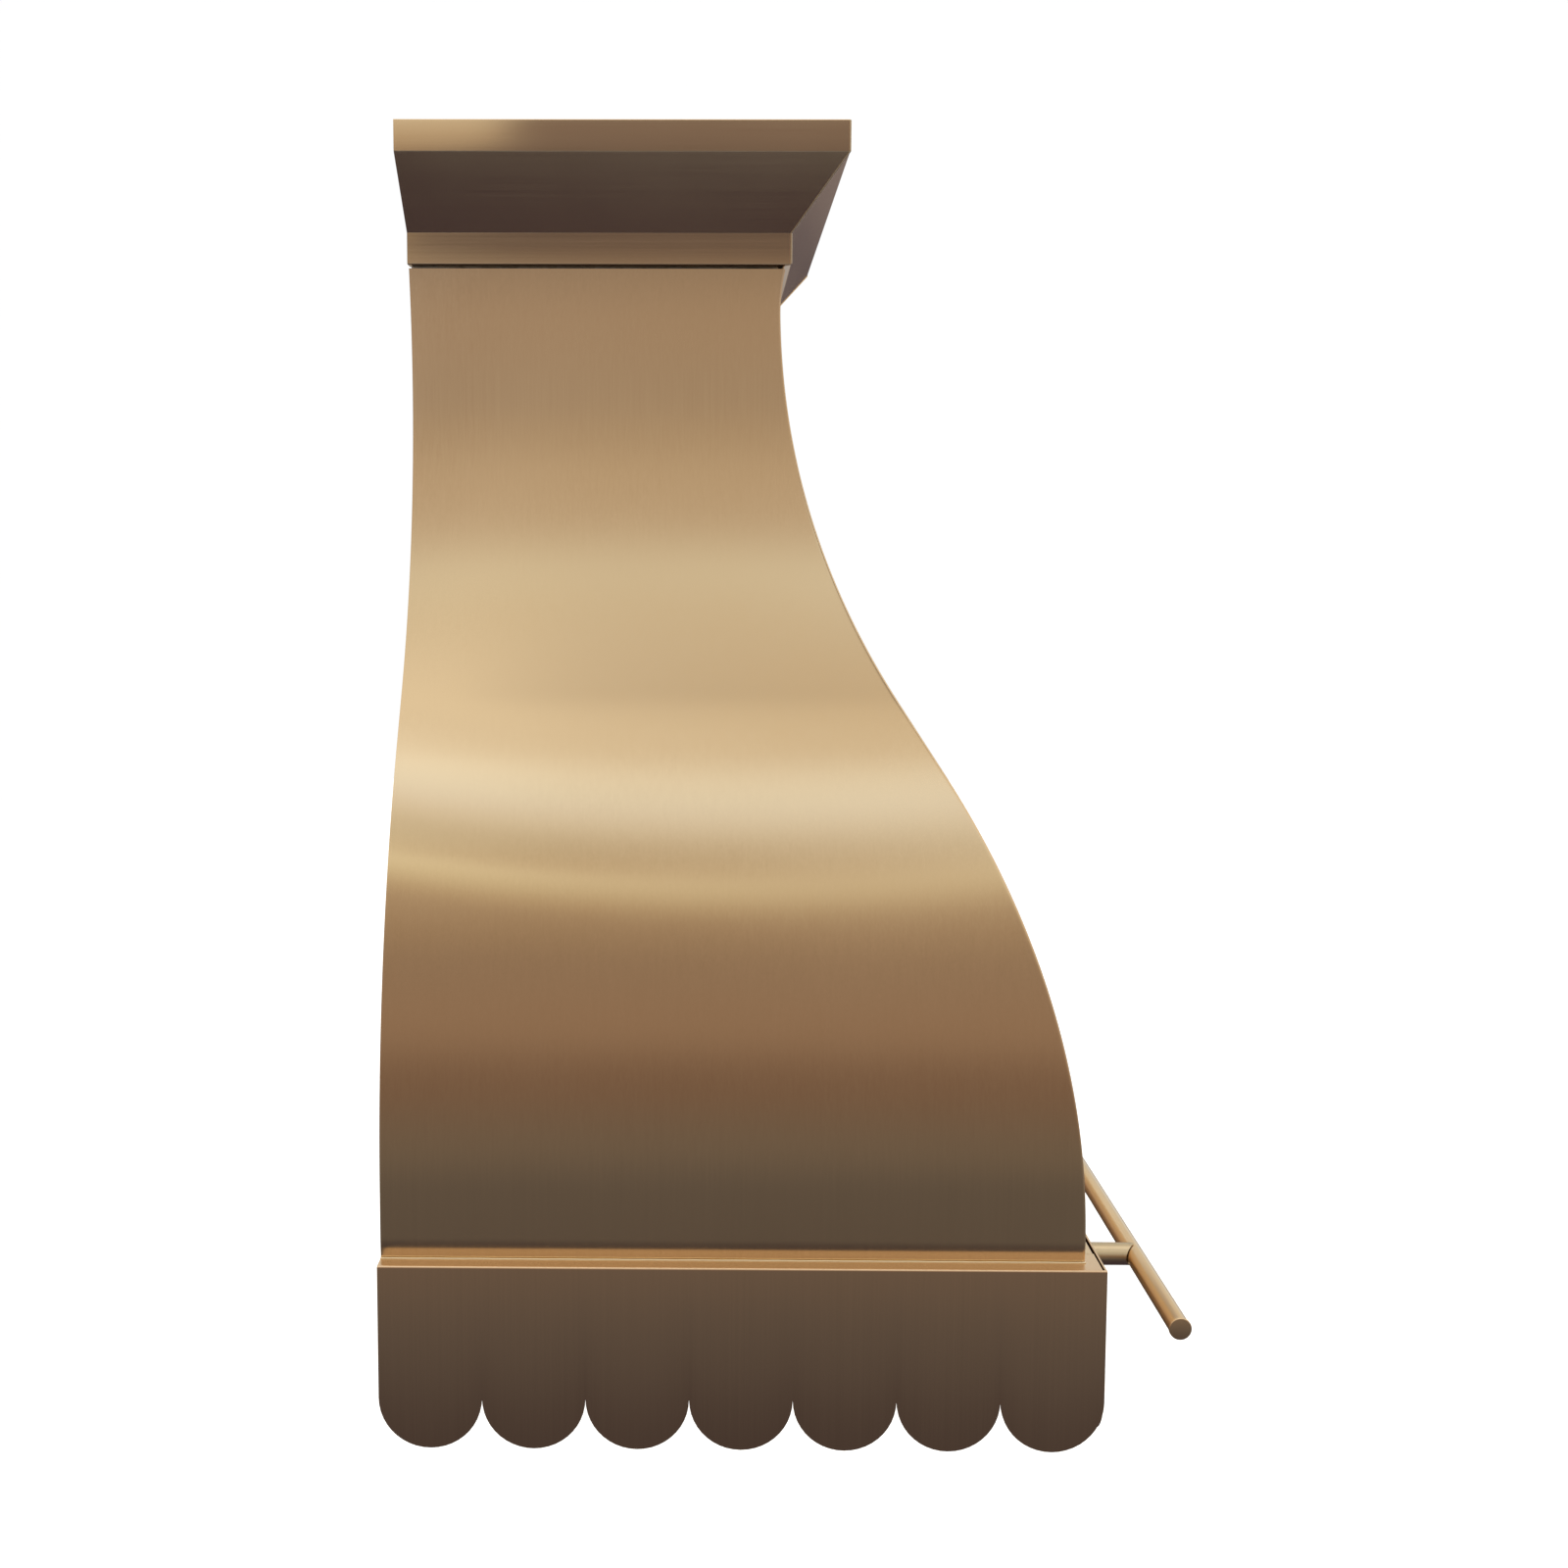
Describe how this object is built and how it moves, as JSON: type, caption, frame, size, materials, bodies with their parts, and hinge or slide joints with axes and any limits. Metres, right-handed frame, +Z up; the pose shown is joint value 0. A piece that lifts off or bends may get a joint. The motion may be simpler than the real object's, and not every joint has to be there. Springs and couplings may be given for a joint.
{
  "type": "wall-mounted range hood",
  "caption": "Wall-mounted kitchen range hood with a crown, a curved body, a scalloped apron, a front rail and a blower insert with drop-down filters.",
  "frame": {"origin": "middle of the rear face of the wall bracket, on the wall plane", "axes": "+Z up, -Y out from the wall towards the cook, X across; symmetric shell about x = 0"},
  "size_m": [0.762, 0.7374, 1.223],
  "materials": {
    "brass": "brushed, satin, lightly aged",
    "brass_apron": "brushed, darker patina",
    "brass_rail": "satin tube",
    "stainless": "brushed",
    "galvanised": "galvanised, matt",
    "steel": "zinc plated",
    "black_plastic": "matt moulded",
    "button_plastic": "satin moulded",
    "lens": "frosted"
  },
  "bodies": {
    "hood": {"apron_front": "brass_apron", "apron_side_left": "brass_apron", "apron_side_right": "brass_apron", "blower_scroll": "galvanised", "blower_side_left": "galvanised", "blower_side_right": "galvanised", "body_front": "brass", "body_side_left": "brass", "body_side_right": "brass", "cable_gland": "black_plastic", "control_bezel": "black_plastic", "crown_front": "brass", "crown_side_left": "brass", "crown_side_right": "brass", "damper_pin": "steel", "duct_collar": "galvanised", "hanger_bar": "steel", "housing_back": "galvanised", "housing_front": "galvanised", "housing_side_left": "galvanised", "housing_side_right": "galvanised", "housing_top": "galvanised", "insert_base": "stainless", "junction_box": "galvanised", "junction_cover": "galvanised", "lamp_housing_left": "stainless", "lamp_housing_right": "stainless", "lamp_lens_left": "lens", "lamp_lens_right": "lens", "ledge_front": "brass", "liner_pan": "stainless", "motor": "steel", "motor_bracket": "steel", "neck_bar_front": "galvanised", "neck_bar_left": "galvanised", "neck_bar_right": "galvanised", "rail_bar": "brass_rail", "rail_cap_left": "brass_rail", "rail_cap_right": "brass_rail", "rail_post_left": "brass_rail", "rail_post_right": "brass_rail", "rail_screw_left": "steel", "rail_screw_right": "steel", "rear_cross_bar": "galvanised", "rear_stiffener_left": "galvanised", "rear_stiffener_right": "galvanised", "wall_bracket": "steel"},
    "wheel": {"impeller": "galvanised", "motor_shaft": "steel"},
    "flap_rear": {"damper_flap_rear": "galvanised"},
    "flap_front": {"damper_flap_front": "galvanised"},
    "filter_left": {"baffle_filter_left": "stainless", "filter_handle_left": "black_plastic"},
    "filter_right": {"baffle_filter_right": "stainless", "filter_handle_right": "black_plastic"},
    "tray": {"grease_tray": "stainless"},
    "key_power": {"button_power": "button_plastic"},
    "key_speed_low": {"button_speed_low": "button_plastic"},
    "key_speed_high": {"button_speed_high": "button_plastic"},
    "key_lamp": {"button_lamp": "button_plastic"}
  },
  "joints": [
    {"name": "wheel_spin", "type": "hinge", "parent": "hood", "child": "wheel", "pos_m": [0, -0.33, -0.745], "axis": [1, 0, 0], "continuous": true},
    {"name": "flap_rear_lift", "type": "hinge", "parent": "hood", "child": "flap_rear", "pos_m": [0, -0.256, -0.6005], "axis": [1, 0, 0], "range_deg": [0, 75]},
    {"name": "flap_front_lift", "type": "hinge", "parent": "hood", "child": "flap_front", "pos_m": [0, -0.256, -0.6005], "axis": [-1, 0, 0], "range_deg": [0, 75]},
    {"name": "filter_left_drop", "type": "hinge", "parent": "hood", "child": "filter_left", "pos_m": [-0.1437, -0.108, -0.884], "axis": [1, 0, 0], "range_deg": [0, 55]},
    {"name": "filter_right_drop", "type": "hinge", "parent": "hood", "child": "filter_right", "pos_m": [0.1437, -0.108, -0.884], "axis": [1, 0, 0], "range_deg": [0, 55]},
    {"name": "tray_drop", "type": "slide", "parent": "hood", "child": "tray", "axis": [0, 0, -1], "range_m": [0, 0.05]},
    {"name": "power_press", "type": "slide", "parent": "hood", "child": "key_power", "axis": [0, 0, 1], "range_m": [0, 0.002], "stiffness_N_per_m": 400},
    {"name": "speed_low_press", "type": "slide", "parent": "hood", "child": "key_speed_low", "axis": [0, 0, 1], "range_m": [0, 0.002], "stiffness_N_per_m": 400},
    {"name": "speed_high_press", "type": "slide", "parent": "hood", "child": "key_speed_high", "axis": [0, 0, 1], "range_m": [0, 0.002], "stiffness_N_per_m": 400},
    {"name": "lamp_press", "type": "slide", "parent": "hood", "child": "key_lamp", "axis": [0, 0, 1], "range_m": [0, 0.002], "stiffness_N_per_m": 400}
  ]
}
